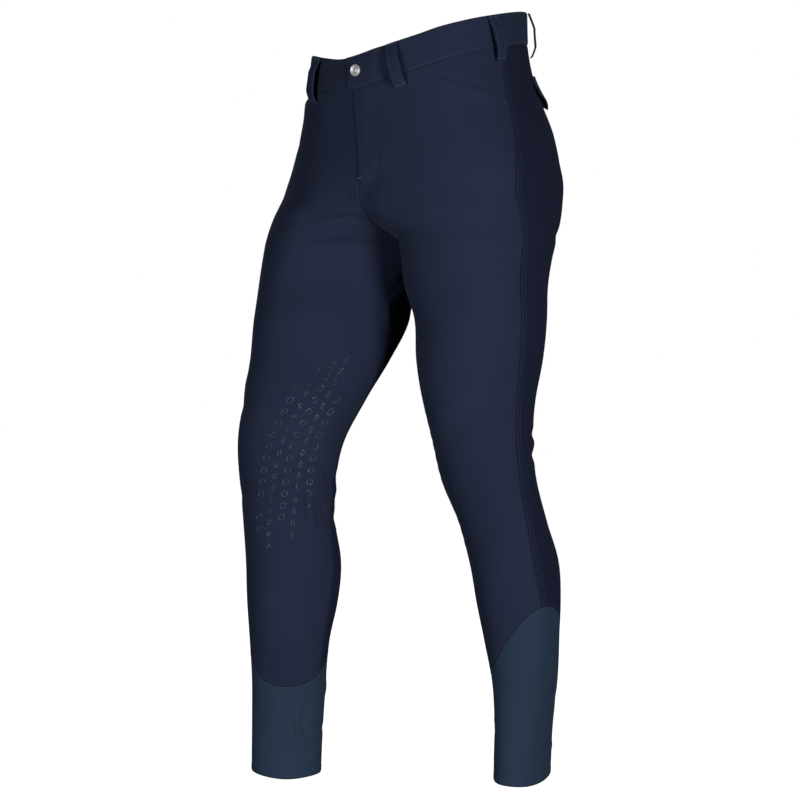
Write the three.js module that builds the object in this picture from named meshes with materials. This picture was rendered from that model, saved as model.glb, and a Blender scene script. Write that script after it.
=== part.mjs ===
// Riding breeches, filled out as on a wearer who stands with the right leg forward and turned out.
// Millimetres. The origin is the middle of the waist, +Z is up, -Y is the front and +X the wearer's left.
// The cloth is cut as four leg panels, two pocket facings, two waistband halves and two stretch cuffs.
import * as THREE from "three";

// Cloth and seams
const CLOTH = 1.5; // wall of the body cloth
const BAND_CLOTH = 2.4; // wall of the doubled waistband
const CUFF_CLOTH = 1.2; // wall of the stretch cuffs
const GAP = 0.36; // clearance at a seam, at least 0.3 where the edges bow
const SEAT = 0.8; // clearance under what is sewn onto a curved panel
const BAND_PROUD = 0.8; // how far the waistband stands out from the panels below it
const BAND_HEIGHT = 40;

// Crotch and seams
const CROTCH_Z = -240;
const FRONT_RISE = 66; // height in which the centre front seam curves under to the crotch
const BACK_RISE = 105; // and the same for the centre back seam
const INSEAM_BACK = 65; // degrees that the inseam runs behind the inner side of the leg
const INSEAM_RUN = 220; // drop below the crotch in which it gets there
const SPREAD_X = 90; // distance from the centre over which a leg's pose takes hold at the crotch
const SPREAD_Z = 90; // and drop below the crotch
const MERGE = { low: 1.4, high: 1.6 }; // how softly the legs' sections merge at the crotch and further up
const EDGE_TRIM = 0.8 * GAP; // taken off each edge at the outseam and the inseam

// Fly and waistband overlap
const FLY_LOW = -163; // bottom of the fly
const FLY_REACH = 8.5; // how far the fly's edge runs past the centre at the top
const FLY_WIDTH = 29;
// Where over its bottom the fly's edge starts to leave the centre, and the height in which it does.
const FLY_EDGE = { above: 25, run: 85 };
const FLY_RISE = { below: 12, above: 10, side: 3 }; // how the fly comes up off the panel under it
const BAND_END = 19; // how far the left waistband runs past the centre front
const BAND_UNDER = 12; // how far the right waistband runs on under the left one
const BAND_STEP = { start: 12, end: 30 }; // past that end, where the left one comes down from lying over it

// Front pocket mouth, from the waistband to the outseam
const MOUTH_START = 52.6;
const MOUTH_END_Z = -65;
const MOUTH_SAG = 2;
const MOUTH_GAPE = 1.6; // how far the mouth's edge stands off the facing
const MOUTH_DROP = 25; // and how far below the edge that fades out

// Pocket facing: tucked behind the front panel below the mouth, and level with it where the mouth is well
// open. startIn and endIn are degrees, least its least height, levels its rows between mouth and waistband.
const FACING = { tuck: 14, startIn: 0.3, endIn: 1.5, least: 2, levels: [0.35, 0.7] };
const FACING_OPEN = { from: 4, to: 22, up: 14 }; // height of the opening at which it comes level

// Back pocket flap
const FLAP = { around: -40, width: 118, below: 81, side: 26, point: 16, lift: 5, curl: 1.5, cloth: 1.8 };
const FLAP_Z = -60; // height at which its width is measured round the hip

// Belt loops: they start under the band's edge and arch away from it. around is degrees from the side
// towards the front.
const LOOP = { width: 14, cloth: 1.8, stand: 7, start: 1, length: 56, arch: 1.25, round: 0.6, overBand: 3 };
const LOOPS = table("name side around", [
  ["front_left", 1, 65.5],
  ["front_right", -1, 54],
  ["side_left", 1, 11],
  ["side_right", -1, 11],
  ["back_left", 1, -30],
  ["back_right", -1, -30],
  ["centre_back", 1, -90],
]);

// Button: a dished disc with a rim. in is measured from its outside, and up from its back.
const BUTTON = { radius: 7.4, below: 19, fromEnd: 15, clear: 0.1 };
const BUTTON_PROFILE = table("in up", [
  [7.4, 0],
  [0.6, 0],
  [0, 0.7],
  [0, 2.4],
  [0.6, 3.2],
  [1.3, 3.2],
  [2, 2.3],
  [4.1, 1.9],
  [7.4, 1.7],
]);

// How finely each piece is divided
const FACETS = {
  panel: 12,
  facing: 8,
  band: 22,
  bandRows: 2,
  cuffRows: 6,
  loop: 2,
  loopRows: 10,
  flap: 8,
  flapRows: 3,
  button: 20,
};

// The cut, the same for both legs. z is the height; out and gap are the outer and inner sides,
// mid the widest line behind the centre, fore and aft the depths in front of and behind it, square the
// roundness (2 is an ellipse), and seam the outseam's angle in front of the side.
const CUT = table("z out gap mid fore aft square seam", [
  [-930, 118, 58, 30, 42, 46, 2.0, 12],
  [-890, 118, 57, 30, 42, 46, 2.0, 12],
  [-843, 119, 56, 29, 42, 48, 2.0, 12],
  [-792, 124, 48, 28, 44, 49, 2.0, 12],
  [-741, 131, 39, 26, 47, 53, 2.0, 12],
  [-690, 138, 36, 25, 50, 64, 2.0, 13],
  [-640, 142, 34, 23, 52, 68, 2.0, 19],
  [-589, 144, 35, 18, 54, 62, 2.0, 16],
  [-538, 147, 29, 12, 60, 61, 2.0, 10],
  [-487, 150, 30, 5, 69, 66, 2.0, 7.5],
  [-436, 156, 24, 6, 80, 74, 2.0, 7.5],
  [-385, 164, 15, 6, 88, 84, 2.0, 10],
  [-335, 170, 10, 7, 92, 88, 2.05, 13],
  [-290, 177, 4, 9, 97, 94, 2.1, 12.5],
  [-240, 180, 0, 8, 106, 103, 2.15, 12],
  [-195, 180, 0, 4, 117, 132, 2.3, 10],
  [-155, 178, 0, 0, 115, 155, 2.4, 7.5],
  [-105, 166, 0, 0, 114, 155, 2.4, 5],
  [-60, 153, 0, 0, 115, 135, 2.4, 5],
  [-20, 144, 0, 0, 116, 121, 2.35, 4.5],
  [20, 140, 0, 0, 116, 115, 2.3, 4],
  [70, 140, 0, 0, 115, 113, 2.3, 4],
]);

// How each leg is posed. forward and outward move it, turn rotates it outwards in degrees,
// and deepen stretches its depth where the thigh slants.
const POSE_LEFT = table("z forward outward turn deepen", [
  [-930, -46, 15.8, 0, 1],
  [-843, -48, 18.8, 0, 1],
  [-792, -50, 20.8, 0, 1],
  [-741, -50, 18.8, 0, 1],
  [-690, -44, 14.6, 0, 1],
  [-640, -40, 10.3, 0, 1],
  [-589, -28, 7, 0, 1],
  [-538, -15, 4, 0, 1],
  [-487, -8, 4, 0, 1],
  [-436, -2, 3, 0, 1],
  [-385, -2, 4, 0, 1],
  [-335, -2, 4, 0, 0.95],
  [-290, 4, -1, 0, 0.97],
  [-240, 2, 0, 0, 1],
  [-155, 0, 0, 0, 1],
]);
const POSE_RIGHT = table("z forward outward turn deepen", [
  [-930, 164, 22, 50, 1],
  [-792, 160, 21, 50, 1],
  [-640, 154, 19, 48, 1],
  [-538, 144, 17, 40, 1],
  [-487, 132, 12, 35, 1],
  [-436, 110, 8, 30, 1.02],
  [-385, 82, 9, 25, 1.06],
  [-335, 60, 10, 17, 1.16],
  [-290, 51, 13, 10, 1.08],
  [-240, 37, 11, 0, 1.05],
  [-155, 6, 3, 0, 1],
  [-110, 0, 0, 0, 1],
]);

// The waistband's top edge, which dips in front and towards the right hip. heading is 0 at the left side,
// 90 at the centre front and 180 at the right side.
const WAISTLINE = table("heading top", [
  [-108, 47],
  [-90, 52],
  [-55, 54],
  [-18, 49.5],
  [14, 36],
  [38, 21.5],
  [51, 11.5],
  [71, 0],
  [90, -8.6],
  [105, -11.3],
  [122, -6],
  [142, 2],
  [166, 4],
  [198, 12],
  [216, 25],
  [235, 39],
  [252, 47],
  [270, 52],
  [305, 54],
]);

// Height of the seam between leg and cuff: low round the inside, high at the outseam.
const CUFF_SEAM = { low: -793, rise: 99, peak: 2, power: 1.4 };
// The hems, tilted towards one side.
const HEM = { 1: { z: -912.5, tilt: 9, towards: 49 }, [-1]: { z: -902, tilt: 8, towards: 189 } };

// The largest folds: soft troughs (below zero) and ridges. They run from z1, around1 to z2, around2
// with a bow, and deep, wide and bow are in millimetres.
const FOLDS = table("side z1 around1 z2 around2 bow wide deep", [
  [-1, -222, 160, -212, 95, 6, 9, -4],
  [-1, -203, 165, -192, 90, 4, 12, 2.5],
  [-1, -185, 120, -180, 70, 0, 12, -1.8],
  [1, -205, 130, -150, 60, 0, 10, -2],
  [1, -222, 125, -165, 55, 0, 10, 2.2],
]);
const FOLD_END = 1.5; // how gently a fold runs out
const FOLD_CALM = { from: 2, to: 22 }; // distance from the middle plane in which folds fade out towards it

function table(columns, rows) {
  const names = columns.split(" ");
  return rows.map((row) => Object.fromEntries(names.map((name, i) => [name, row[i]])));
}

// Every column of a table at one value of its first, on a smooth curve through the rows.
function along(rows, value) {
  const names = Object.keys(rows[0]);
  const key = names[0];
  const last = rows.length - 1;
  const x = THREE.MathUtils.clamp(value, rows[0][key], rows[last][key]);
  let i = 0;
  while (i < last - 1 && x > rows[i + 1][key]) i += 1;
  const step = rows[i + 1][key] - rows[i][key];
  const f = (x - rows[i][key]) / step;
  const slope = (j, name) => {
    const before = rows[Math.max(j - 1, 0)];
    const after = rows[Math.min(j + 1, last)];
    return ((after[name] - before[name]) / (after[key] - before[key])) * step;
  };
  const mix = {};
  for (const name of names) {
    const a = rows[i][name];
    const b = rows[i + 1][name];
    const bend = (slope(i, name) - b + a) * (1 - f) + (b - a - slope(i + 1, name)) * f;
    mix[name] = a + (b - a) * f + f * (1 - f) * bend;
  }
  return mix;
}

const RAD = Math.PI / 180;
const UP = new THREE.Vector3(0, 0, 1);
const smooth = (x, from, to) => THREE.MathUtils.smoothstep((x - from) / (to - from), 0, 1);

// How far the two legs' sections still are from having merged into one, from 1 at the crotch to 0.
function apart(z, front) {
  const climb = THREE.MathUtils.clamp((z - CROTCH_Z) / (front ? FRONT_RISE : BACK_RISE), 0, 1);
  return (1 - climb ** MERGE.low) ** MERGE.high;
}

// Half width and middle of one quarter of a section, with its depth, and how far round it the seam lies.
function quarter(cut, front) {
  const above = cut.z > CROTCH_Z;
  const cover = above ? apart(cut.z, front) : 1;
  const half = (cut.out - (above ? 0 : cut.gap)) / (1 + cover);
  const reach = (1 - cover ** cut.square) ** (1 / cut.square);
  return { half, middle: cut.out - half, depth: front ? cut.fore : cut.aft, reach };
}

// The degrees at which a panel ends: at the centre seam above the crotch, at the inseam below it.
function panelEnd(z, front) {
  if (z <= CROTCH_Z) {
    const behind = INSEAM_BACK * smooth(CROTCH_Z - z, 0, INSEAM_RUN);
    return front ? 180 + behind : behind - 180;
  }
  const q = quarter(along(CUT, z), front);
  const end = Math.atan2(q.depth * q.reach, -q.middle) / RAD;
  return front ? end : -end;
}

// A point on the smooth figure of the garment, before folds.
function figure(side, z, around) {
  const cut = along(CUT, z);
  const pose = along(side > 0 ? POSE_LEFT : POSE_RIGHT, z);
  const c = Math.cos(around * RAD);
  const s = Math.sin(around * RAD);
  const q = quarter(cut, s >= 0);
  const n = cut.square;
  const radius = (Math.abs(c / q.half) ** n + Math.abs(s / q.depth) ** n) ** (-1 / n);
  const x = radius * c;
  const y = -radius * s;
  const turn = pose.turn * RAD;
  const plain = new THREE.Vector3(q.middle + x, cut.mid + y, z);
  const posed = new THREE.Vector3(x, y * pose.deepen, 0).applyAxisAngle(UP, turn);
  posed.add(new THREE.Vector3(q.middle + pose.outward, cut.mid - pose.forward, z));
  const hold = 1 - (1 - smooth(plain.x, 0, SPREAD_X)) * (1 - smooth(CROTCH_Z - z, 0, SPREAD_Z));
  const spot = plain.lerp(posed, hold);
  spot.x = side * (spot.x + GAP / 2);
  return spot;
}

// Height of the folds over the figure.
function foldHeight(side, z, around) {
  let height = 0;
  for (const fold of FOLDS) {
    if (fold.side !== side) continue;
    const reach = figureRadius(z) * RAD;
    const run = [(fold.around2 - fold.around1) * reach, fold.z2 - fold.z1];
    const length = Math.hypot(...run);
    const from = [(around - fold.around1) * reach, z - fold.z1];
    const share = (from[0] * run[0] + from[1] * run[1]) / length ** 2;
    if (share < 0 || share > 1) continue;
    const taper = Math.sin(Math.PI * share);
    const off = (from[0] * run[1] - from[1] * run[0]) / length - fold.bow * taper;
    height += fold.deep * taper ** FOLD_END * Math.exp(-((off / fold.wide) ** 2));
  }
  return height * smooth(figure(side, z, around).x * side, FOLD_CALM.from, FOLD_CALM.to);
}

// The mean of a section's reaches. Above the crotch it has no inner one.
function figureRadius(z) {
  const cut = along(CUT, z);
  return (cut.out - Math.max(cut.gap, 0) + cut.fore + cut.aft) / (z > CROTCH_Z ? 3 : 4);
}

function outward(side, z, around) {
  const up = figure(side, z + 1, around).sub(figure(side, z - 1, around));
  const on = figure(side, z, around + 0.5).sub(figure(side, z, around - 0.5));
  return up.cross(on).normalize().multiplyScalar(side);
}

// A point of the cloth's outer face, moved out by lift.
function skin(side, z, around, lift = 0) {
  const normal = outward(side, z, around);
  return figure(side, z, around).addScaledVector(normal, lift + foldHeight(side, z, around));
}

// Millimetres along a section for one degree.
function perDegree(side, z, around) {
  return figure(side, z, around + 0.5).distanceTo(figure(side, z, around - 0.5));
}

function waistTop(side, around) {
  return along(WAISTLINE, side > 0 ? around : 180 - around).top;
}

// Where the point lies that is a distance below the waistband's top edge, square to it.
function belowWaist(side, around, below) {
  const z = waistTop(side, around);
  const degree = perDegree(side, z, around);
  const tilt = Math.atan((waistTop(side, around - 1) - waistTop(side, around + 1)) / (2 * degree));
  return { z: z - below * Math.cos(tilt), around: around - (below * Math.sin(tilt)) / degree };
}

// Height of the waistband's lower seam at an angle.
function bandSeam(side, around) {
  let start = around;
  for (let i = 0; i < 4; i += 1) start += around - belowWaist(side, start, BAND_HEIGHT).around;
  return belowWaist(side, start, BAND_HEIGHT).z - GAP;
}

// Height of the front pocket's mouth.
function mouth(side, around) {
  const seam = along(CUT, MOUTH_END_Z).seam;
  const share = THREE.MathUtils.clamp((around - seam) / (MOUTH_START - seam), 0, 1);
  const start = bandSeam(side, MOUTH_START);
  return MOUTH_END_Z + (start - MOUTH_END_Z) * share - MOUTH_SAG * Math.sin(Math.PI * share);
}

function cuffSeam(around) {
  const share = (1 + Math.cos((around - CUFF_SEAM.peak) * RAD)) / 2;
  return CUFF_SEAM.low + CUFF_SEAM.rise * share ** CUFF_SEAM.power;
}

function hem(side, around) {
  const { z, tilt, towards } = HEM[side];
  return z - tilt * Math.cos((around - towards) * RAD);
}

const NAVY = 0x222a40;
const CUFF_BLUE = 0x263649;
const garment = new THREE.Group();

// A closed wall between two grids of points, point(i, j, face), where face is 0 outside and 1 inside.
function wall(name, columns, rows, side, point, { closed = false, colour = NAVY } = {}) {
  const positions = [];
  const indices = [];
  const stride = closed ? columns : columns + 1;
  const count = stride * (rows + 1);
  for (const face of [0, 1]) {
    for (let j = 0; j <= rows; j += 1) {
      for (let i = 0; i < stride; i += 1) positions.push(...point(i, j, face).toArray());
    }
  }
  const quad = (a, b, c, d) => {
    if (side > 0) indices.push(a, d, c, a, c, b);
    else indices.push(a, b, c, a, c, d);
  };
  const at = (i, j) => j * stride + (i % stride);
  for (let j = 0; j < rows; j += 1) {
    for (let i = 0; i < columns; i += 1) {
      const corners = [at(i, j), at(i + 1, j), at(i + 1, j + 1), at(i, j + 1)];
      quad(...corners);
      quad(...corners.reverse().map((corner) => corner + count));
    }
  }
  const edge = (a, b) => quad(b, a, a + count, b + count);
  for (let i = 0; i < columns; i += 1) {
    edge(at(i, 0), at(i + 1, 0));
    edge(at(i + 1, rows), at(i, rows));
  }
  for (let j = 0; j < rows && !closed; j += 1) {
    edge(at(columns, j), at(columns, j + 1));
    edge(at(0, j + 1), at(0, j));
  }
  const geometry = new THREE.BufferGeometry();
  geometry.setAttribute("position", new THREE.Float32BufferAttribute(positions, 3));
  geometry.setIndex(indices);
  geometry.computeVertexNormals();
  const material = new THREE.MeshStandardMaterial({ color: colour, roughness: 0.85, metalness: 0 });
  const mesh = new THREE.Mesh(geometry, material);
  mesh.name = name;
  garment.add(mesh);
}

// The panel's rows, as shares: below 0 from the cuff seam to the crotch, above 0 from there to the top.
const LEG_ROWS = 22;
const RISE_ROWS = 7;
const HIP_ROWS = 7;

// Height of a leg panel's row, share of the way from the outseam. Rows are close together where the
// centre seam curves under, and those of front and back meet at the outseam.
function rowHeight(row, share, front, low, top) {
  if (row <= LEG_ROWS) return THREE.MathUtils.lerp(low, CROTCH_Z, row / LEG_ROWS);
  const own = front ? FRONT_RISE : BACK_RISE;
  const rise = THREE.MathUtils.lerp((FRONT_RISE + BACK_RISE) / 2, own, share);
  const turn = Math.min((row - LEG_ROWS) / RISE_ROWS, 1) * 90 * RAD;
  if (row <= LEG_ROWS + RISE_ROWS) return CROTCH_Z + rise * (1 - Math.cos(turn));
  return THREE.MathUtils.lerp(CROTCH_Z + rise, top, (row - LEG_ROWS - RISE_ROWS) / HIP_ROWS);
}

// How far the fly's edge runs past the centre, and how far the fly lifts off the panel beneath.
function flyReach(z) {
  return FLY_REACH * THREE.MathUtils.clamp((z - FLY_LOW - FLY_EDGE.above) / FLY_EDGE.run, 0, 1);
}
function flyLift(z, x) {
  const up = smooth(z, FLY_LOW - FLY_RISE.below, FLY_LOW + FLY_RISE.above);
  return (CLOTH + 2 * GAP) * up * (1 - smooth(x, FLY_RISE.side, FLY_WIDTH));
}

function legPanel(name, side, front) {
  const columns = FACETS.panel;
  const rows = LEG_ROWS + RISE_ROWS + HIP_ROWS;
  const fly = front && side > 0;
  const spot = (i, j) => {
    const share = i / columns;
    let around = 0;
    let z = CROTCH_Z;
    for (let pass = 0; pass < 4; pass += 1) {
      const start = along(CUT, z).seam;
      let end = panelEnd(z, front);
      if (fly && z > FLY_LOW) end += flyReach(z) / perDegree(side, z, 90);
      around = start + (end - start) * share;
      const top = front ? Math.min(bandSeam(side, around), mouth(side, around)) : bandSeam(side, around);
      z = rowHeight(j, share, front, cuffSeam(around) + GAP, top);
    }
    const trim = EDGE_TRIM / perDegree(side, z, around);
    if (i === 0) around += front ? trim : -trim;
    if (i === columns && z < CROTCH_Z + 1) around -= front ? trim : -trim;
    return { z, around };
  };
  wall(name, columns, rows, side * (front ? 1 : -1), (i, j, face) => {
    const { z, around } = spot(i, j);
    let lift = face ? -CLOTH : 0;
    if (fly) lift += flyLift(z, figure(side, z, around).x);
    if (front) lift += MOUTH_GAPE * mouthGape(side, z, around);
    return skin(side, z, around, lift);
  });
}

// The mouth's edge stands off the facing, most in its middle.
function mouthGape(side, z, around) {
  if (around > MOUTH_START || around < 0) return 0;
  const edge = mouth(side, around);
  return Math.sin((Math.PI * around) / MOUTH_START) * smooth(z, edge - MOUTH_DROP, edge);
}

// The cloth that shows in the pocket's mouth. It runs on behind the front panel's edge.
function facing(name, side) {
  const columns = FACETS.facing;
  const start = along(CUT, MOUTH_END_Z).seam + FACING.startIn;
  const rows = FACING.levels.length + 2;
  wall(name, columns, rows, side, (i, j, face) => {
    const around = THREE.MathUtils.lerp(start, MOUTH_START - FACING.endIn, i / columns);
    const edge = mouth(side, around);
    const top = Math.max(bandSeam(side, around), edge + FACING.least);
    const between = FACING.levels.map((level) => THREE.MathUtils.lerp(edge, top, level));
    const z = [edge - FACING.tuck, edge - 1, ...between, top][j];
    const open = smooth(top - edge, FACING_OPEN.from, FACING_OPEN.to);
    const tuck = (CLOTH + GAP) * (1 - open * smooth(z, edge, edge + FACING_OPEN.up));
    return skin(side, z, around, -tuck - (face ? CLOTH : 0));
  });
}

// Half of the waistband. The left one ends past the centre front, over the end of the right one.
function waistband(name, side) {
  const columns = FACETS.band;
  const end = 90 + (side > 0 ? BAND_END : BAND_UNDER) / perDegree(side, 0, 90);
  const start = GAP / 2 / perDegree(side, 0, -90) - 90;
  wall(name, columns, FACETS.bandRows, side, (i, j, face) => {
    const around = THREE.MathUtils.lerp(start, end, i / columns);
    const spot = belowWaist(side, around, BAND_HEIGHT * (1 - j / FACETS.bandRows));
    const x = figure(side, spot.z, spot.around).x;
    const down = smooth(x, BAND_UNDER + BAND_STEP.start, BAND_UNDER + BAND_STEP.end);
    const over = side > 0 && around > 0 ? (BAND_CLOTH + GAP) * (1 - down) : 0;
    return skin(side, spot.z, spot.around, BAND_PROUD + over - (face ? BAND_CLOTH : 0));
  });
}

// The degrees at which a panel's column meets the cuff.
function cuffColumn(share, front) {
  let around = 0;
  for (let pass = 0; pass < 5; pass += 1) {
    const z = cuffSeam(around);
    around = THREE.MathUtils.lerp(along(CUT, z).seam, panelEnd(z, front), share);
  }
  return around;
}

// A stretch cuff: a closed tube from the hem to the slanted seam at the leg.
function cuff(name, side) {
  const columns = FACETS.panel;
  const around = (i) => {
    if (i <= columns) return cuffColumn(i / columns, true);
    return cuffColumn((2 * columns - i) / columns, false);
  };
  const point = (i, j, face) => {
    const z = THREE.MathUtils.lerp(hem(side, around(i)), cuffSeam(around(i)) - GAP, j / FACETS.cuffRows);
    return skin(side, z, around(i), face ? -CUFF_CLOTH : 0);
  };
  wall(name, 2 * columns, FACETS.cuffRows, side, point, { closed: true, colour: CUFF_BLUE });
}

// A belt loop: a strip sewn at the band's top and below its seam, and standing off between.
function beltLoop({ name, side, around }) {
  const columns = FACETS.loop;
  const rows = FACETS.loopRows;
  wall(`belt_loop_${name}`, columns, rows, side, (i, j, face) => {
    const share = 1 - j / rows;
    const across = ((i / columns - 0.5) * LOOP.width) / perDegree(side, 0, around);
    const spot = belowWaist(side, around + across, LOOP.start + share * LOOP.length);
    const seat = spot.z > bandSeam(side, spot.around) - LOOP.overBand ? BAND_PROUD : 0;
    const stand = LOOP.stand * Math.min(1, LOOP.arch * Math.sin(Math.PI * share) ** LOOP.round);
    return skin(side, spot.z, spot.around, seat + SEAT + stand + (face ? 0 : LOOP.cloth));
  });
}

// A pointed flap, sewn along its top edge, with its free edges lifted.
function pocketFlap(name, side) {
  const columns = FACETS.flap;
  const rows = FACETS.flapRows;
  const degree = perDegree(side, FLAP_Z, FLAP.around);
  wall(name, columns, rows, side, (i, j, face) => {
    const across = (i / columns - 0.5) * 2;
    const drop = FLAP.side + FLAP.point * (1 - Math.abs(across));
    const share = 1 - j / rows;
    const around = FLAP.around + (across * FLAP.width) / 2 / degree;
    const spot = belowWaist(side, around, FLAP.below + share * drop);
    return skin(side, spot.z, spot.around, SEAT + FLAP.lift * share ** FLAP.curl + (face ? 0 : FLAP.cloth));
  });
}

// The button, on the waistband's lapped end.
function button() {
  const points = BUTTON_PROFILE.map((row) => new THREE.Vector2(BUTTON.radius - row.in, row.up));
  const geometry = new THREE.LatheGeometry(points, FACETS.button);
  const steel = new THREE.MeshStandardMaterial({ color: 0xb4b6ba, roughness: 0.3, metalness: 1 });
  const mesh = new THREE.Mesh(geometry, steel);
  const around = 90 + (BAND_END - BUTTON.fromEnd) / perDegree(1, 0, 90);
  const spot = belowWaist(1, around, BUTTON.below);
  const normal = outward(1, spot.z, spot.around);
  mesh.quaternion.setFromUnitVectors(new THREE.Vector3(0, 1, 0), normal);
  mesh.position.copy(skin(1, spot.z, spot.around, BAND_PROUD + BAND_CLOTH + 2 * GAP + BUTTON.clear));
  mesh.name = "snap_button";
  garment.add(mesh);
}

for (const [word, side] of [["left", 1], ["right", -1]]) {
  legPanel(`front_${word}`, side, true);
  legPanel(`back_${word}`, side, false);
  facing(`pocket_facing_${word}`, side);
  waistband(`waistband_${word}`, side);
  cuff(`cuff_${word}`, side);
  pocketFlap(`pocket_flap_${word}`, side);
}
LOOPS.forEach(beltLoop);
button();

export default garment;
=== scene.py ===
import math

import bpy
import numpy as np
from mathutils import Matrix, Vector


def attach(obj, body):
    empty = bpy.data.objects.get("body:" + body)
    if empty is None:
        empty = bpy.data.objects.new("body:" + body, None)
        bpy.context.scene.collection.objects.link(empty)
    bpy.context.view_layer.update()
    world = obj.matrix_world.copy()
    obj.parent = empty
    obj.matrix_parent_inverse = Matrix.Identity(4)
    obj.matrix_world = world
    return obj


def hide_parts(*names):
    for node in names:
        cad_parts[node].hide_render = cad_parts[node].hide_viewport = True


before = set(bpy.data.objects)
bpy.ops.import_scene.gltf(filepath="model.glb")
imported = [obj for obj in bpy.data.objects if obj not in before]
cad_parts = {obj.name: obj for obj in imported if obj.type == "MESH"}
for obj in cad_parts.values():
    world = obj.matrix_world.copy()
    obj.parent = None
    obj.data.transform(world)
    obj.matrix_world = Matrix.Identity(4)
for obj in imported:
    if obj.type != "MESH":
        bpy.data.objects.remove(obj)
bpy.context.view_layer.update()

MM = 0.001

# Cloth and seams
CLOTH = 1.5
BAND_CLOTH = 2.4
CUFF_CLOTH = 1.2
GAP = 0.36
SEAT = 0.8
BAND_PROUD = 0.8
BAND_HEIGHT = 40
CROTCH_Z = -240
FRONT_RISE = 66
BACK_RISE = 105
INSEAM_BACK = 65
INSEAM_RUN = 220
SPREAD_X = 90
SPREAD_Z = 90

# Fly, overlap, pockets, flap, loops and button
FLY_LOW = -163
FLY_REACH = 8.5
FLY_WIDTH = 29
FLY_STITCH = 1.5
FLY_EDGE = {"above": 25, "run": 85}
FLY_RISE = {"below": 12, "above": 10, "side": 3}
FLY_CURVE = 42
BAND_END = 19
BAND_UNDER = 12
BAND_STEP = {"start": 12, "end": 30}
MOUTH_START = 52.6
MOUTH_END_Z = -65
MOUTH_SAG = 2
MOUTH_GAPE = 1.6
MOUTH_DROP = {"below": 30, "run": 25}
FACING = {"tuck": 14, "start_in": 0.15, "past": 1.5, "ease": 12, "open_from": 4, "open_to": 22}
FLAP = {"around": -40, "width": 118, "below": 81, "side": 26, "point": 16, "lift": 5, "cloth": 1.8}
LOOP = {"width": 14, "cloth": 2.6, "stand": 7, "length": 56, "start": 1, "arch": 1.3, "stitch": 1.6}
LOOPS = {
    "front_left": (1, 65.5),
    "front_right": (-1, 54),
    "side_left": (1, 11),
    "side_right": (-1, 11),
    "back_left": (1, -30),
    "back_right": (-1, -30),
    "centre_back": (1, -90),
}
BUTTON = {"radius": 7.4, "height": 3.2, "below": 19, "from_end": 15}

# Stitching
STITCH = {"pitch": 3.1, "length": 2.3, "width": 0.55, "height": 0.26}
EDGE_STITCH = 1.8
TWIN_STITCH = 7.2
CENTRE_STITCH = 1.9
HEM_TURN = 9
ALLOWANCE = 5
FOLD_CALM = {"legs": 12, "from": 2, "to": 22}


class Table:
    """Rows of named columns, read on a smooth curve through the rows by the first column."""

    def __init__(self, columns, rows):
        self.names = columns.split()
        self.rows = np.array(rows, float)
        key = self.rows[:, 0]
        before = np.maximum(np.arange(len(key)) - 1, 0)
        after = np.minimum(np.arange(len(key)) + 1, len(key) - 1)
        self.slopes = (self.rows[after] - self.rows[before]) / (key[after] - key[before])[:, None]

    def at(self, value):
        key = self.rows[:, 0]
        x = np.clip(np.asarray(value, float), key[0], key[-1])
        i = np.searchsorted(key[1:-1], x, side="left")
        step = (key[i + 1] - key[i])[..., None]
        f = ((x - key[i])[..., None]) / step
        a = self.rows[i]
        b = self.rows[i + 1]
        bend = (self.slopes[i] * step - b + a) * (1 - f) + (b - a - self.slopes[i + 1] * step) * f
        mixed = a + (b - a) * f + f * (1 - f) * bend
        return {name: mixed[..., n] for n, name in enumerate(self.names)}


# The cut, the same for both legs. z is the height; out and gap are the outer and inner sides,
# mid the widest line behind the centre, fore and aft the depths in front of and behind it, square the
# roundness (2 is an ellipse), and seam the outseam's angle in front of the side.
CUT = Table("z out gap mid fore aft square seam", [
    [-930, 118, 58, 30, 42, 46, 2.0, 12],
    [-890, 118, 57, 30, 42, 46, 2.0, 12],
    [-843, 119, 56, 29, 42, 48, 2.0, 12],
    [-792, 124, 48, 28, 44, 49, 2.0, 12],
    [-741, 131, 39, 26, 47, 53, 2.0, 12],
    [-690, 138, 36, 25, 50, 64, 2.0, 13],
    [-640, 142, 34, 23, 52, 68, 2.0, 19],
    [-589, 144, 35, 18, 54, 62, 2.0, 16],
    [-538, 147, 29, 12, 60, 61, 2.0, 10],
    [-487, 150, 30, 5, 69, 66, 2.0, 7.5],
    [-436, 156, 24, 6, 80, 74, 2.0, 7.5],
    [-385, 164, 15, 6, 88, 84, 2.0, 10],
    [-335, 170, 10, 7, 92, 88, 2.05, 13],
    [-290, 177, 4, 9, 97, 94, 2.1, 12.5],
    [-240, 180, 0, 8, 106, 103, 2.15, 12],
    [-195, 180, 0, 4, 117, 132, 2.3, 10],
    [-155, 178, 0, 0, 115, 155, 2.4, 7.5],
    [-105, 166, 0, 0, 114, 155, 2.4, 5],
    [-60, 153, 0, 0, 115, 135, 2.4, 5],
    [-20, 144, 0, 0, 116, 121, 2.35, 4.5],
    [20, 140, 0, 0, 116, 115, 2.3, 4],
    [70, 140, 0, 0, 115, 113, 2.3, 4],
])

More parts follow.
